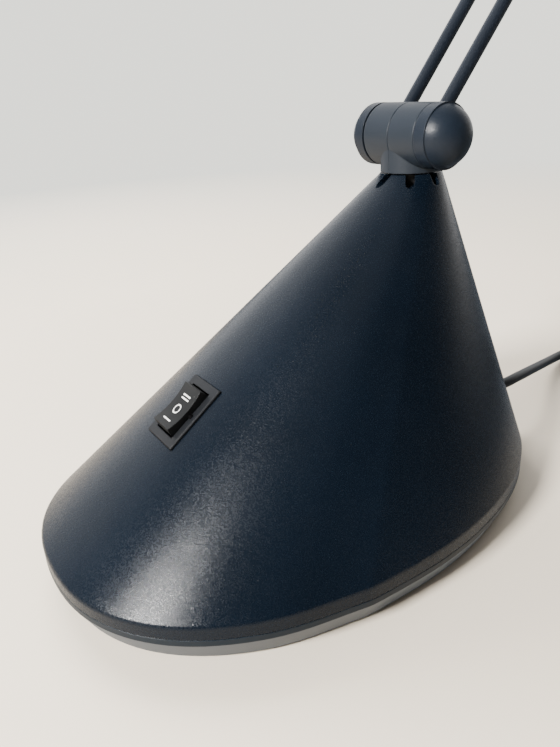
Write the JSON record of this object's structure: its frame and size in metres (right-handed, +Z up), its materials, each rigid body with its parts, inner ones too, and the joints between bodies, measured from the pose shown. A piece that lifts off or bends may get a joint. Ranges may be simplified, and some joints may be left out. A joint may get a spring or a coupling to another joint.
{
  "type": "desk lamp",
  "caption": "Articulated desk lamp: hollow cone base with a front rocker switch, swivelling round hub, thin paired rods with an elbow, small cone head and a coiled mains lead.",
  "frame": {"origin": "on the desk plane, under the swivel axis", "axes": "+Z up along the swivel axis, -Y to the lamp's front where the switch is, +X to the lamp's left"},
  "size_m": [0.1694, 0.4972, 0.4857],
  "materials": {
    "housing_plastic": "blue-black moulding with a fine spark texture",
    "pan_plastic": "blue-black moulding with a fine spark texture",
    "pad_rubber": "black non-slip foam rubber",
    "steel": "zinc-plated steel",
    "ballast_iron": "raw cast iron",
    "core_steel": "varnished stacked laminations",
    "copper_wire": "enamelled copper wire",
    "bobbin_plastic": "natural nylon",
    "wire_pvc": "soft insulated wire",
    "switch_plastic": "black moulding",
    "rocker_plastic": "dark brown-grey moulding with printed marks",
    "contact_brass": "tinned brass",
    "cord_pvc": "dark blue-grey flexible sheath",
    "tie_plastic": "black nylon strap",
    "plug_plastic": "dark moulded plug",
    "pin_metal": "nickel-plated pins",
    "bush_plastic": "grey acetal",
    "hub_plastic": "satin slate-black moulding",
    "cap_plastic": "satin-gloss slate-black moulding",
    "fibre": "pressed fibre",
    "drum_metal": "die-cast",
    "rod_paint": "dark satin blue-grey paint",
    "block_paint": "die-cast, painted satin slate-black",
    "insulator_plastic": "black heat-resistant moulding",
    "shade_plastic": "blue-black heat-resistant moulding",
    "reflector_metal": "bright-anodised spinning",
    "plate_paint": "satin pressing",
    "ceramic": "white heat-proof insert",
    "bulb_glass": "clear quartz",
    "front_glass": "clear toughened disc"
  },
  "bodies": {
    "base": {"base_housing": "housing_plastic", "base_pan": "pan_plastic", "base_pad": "pad_rubber", "pan_screws": "steel", "ballast_plate": "ballast_iron", "transformer_core": "core_steel", "transformer_bobbin": "bobbin_plastic", "primary_winding": "copper_wire", "secondary_winding": "copper_wire", "transformer_strap": "steel", "floor_screws": "steel", "terminal_block": "bobbin_plastic", "inner_lead": "cord_pvc", "inner_wires": "wire_pvc", "switch_frame": "switch_plastic", "switch_pin": "steel", "switch_terminals": "contact_brass", "cord_gland": "insulator_plastic", "power_cord": "cord_pvc", "power_cord_coil": "cord_pvc", "power_cord_tail": "cord_pvc", "cord_tie": "tie_plastic", "plug_body": "plug_plastic", "plug_pins": "pin_metal", "swivel_bush": "bush_plastic"},
    "rocker": {"rocker": "rocker_plastic"},
    "hub": {"swivel_tube": "steel", "swivel_washer": "steel", "swivel_nut": "steel", "hub_shell_left": "hub_plastic", "hub_shell_right": "hub_plastic", "hub_caps": "cap_plastic", "hub_axle": "steel", "hub_axle_nut": "steel", "hub_disc_springs": "steel", "friction_washers": "fibre"},
    "lower_arm": {"pivot_drums": "drum_metal", "lower_rods": "rod_paint", "elbow_outer_blocks": "block_paint", "elbow_caps": "cap_plastic", "elbow_axle": "steel", "elbow_axle_nut": "steel"},
    "upper_arm": {"elbow_inner_blocks": "block_paint", "elbow_insulator": "insulator_plastic", "upper_rods": "rod_paint", "head_inner_blocks": "block_paint", "head_insulator": "insulator_plastic"},
    "head": {"head_yoke": "block_paint", "head_caps": "cap_plastic", "head_axle": "steel", "head_axle_nut": "steel", "head_shade": "shade_plastic", "reflector_plate": "plate_paint", "reflector": "reflector_metal", "lamp_holder": "ceramic", "halogen_capsule": "bulb_glass", "capsule_pins": "pin_metal", "front_glass": "front_glass", "glass_ring": "insulator_plastic"}
  },
  "joints": [
    {"name": "base_swivel", "type": "hinge", "parent": "base", "child": "hub", "pos_m": [0, 0, 0.1453], "axis": [0, 0, 1], "range_deg": [-160, 160]},
    {"name": "lower_arm_tilt", "type": "hinge", "parent": "hub", "child": "lower_arm", "pos_m": [0, -0.0012, 0.1607], "axis": [1, 0, 0], "range_deg": [-26, 18]},
    {"name": "elbow_tilt", "type": "hinge", "parent": "lower_arm", "child": "upper_arm", "pos_m": [0, 0.20915, 0.41497], "axis": [1, 0, 0], "range_deg": [-64, 32]},
    {"name": "head_tilt", "type": "hinge", "parent": "upper_arm", "child": "head", "pos_m": [0, -0.11584, 0.47227], "axis": [1, 0, 0], "range_deg": [-80, 28]},
    {"name": "rocker_switch", "type": "hinge", "parent": "base", "child": "rocker", "pos_m": [0, -0.1227, 0.0651], "axis": [1, 0, 0], "range_deg": [-10, 10]}
  ]
}
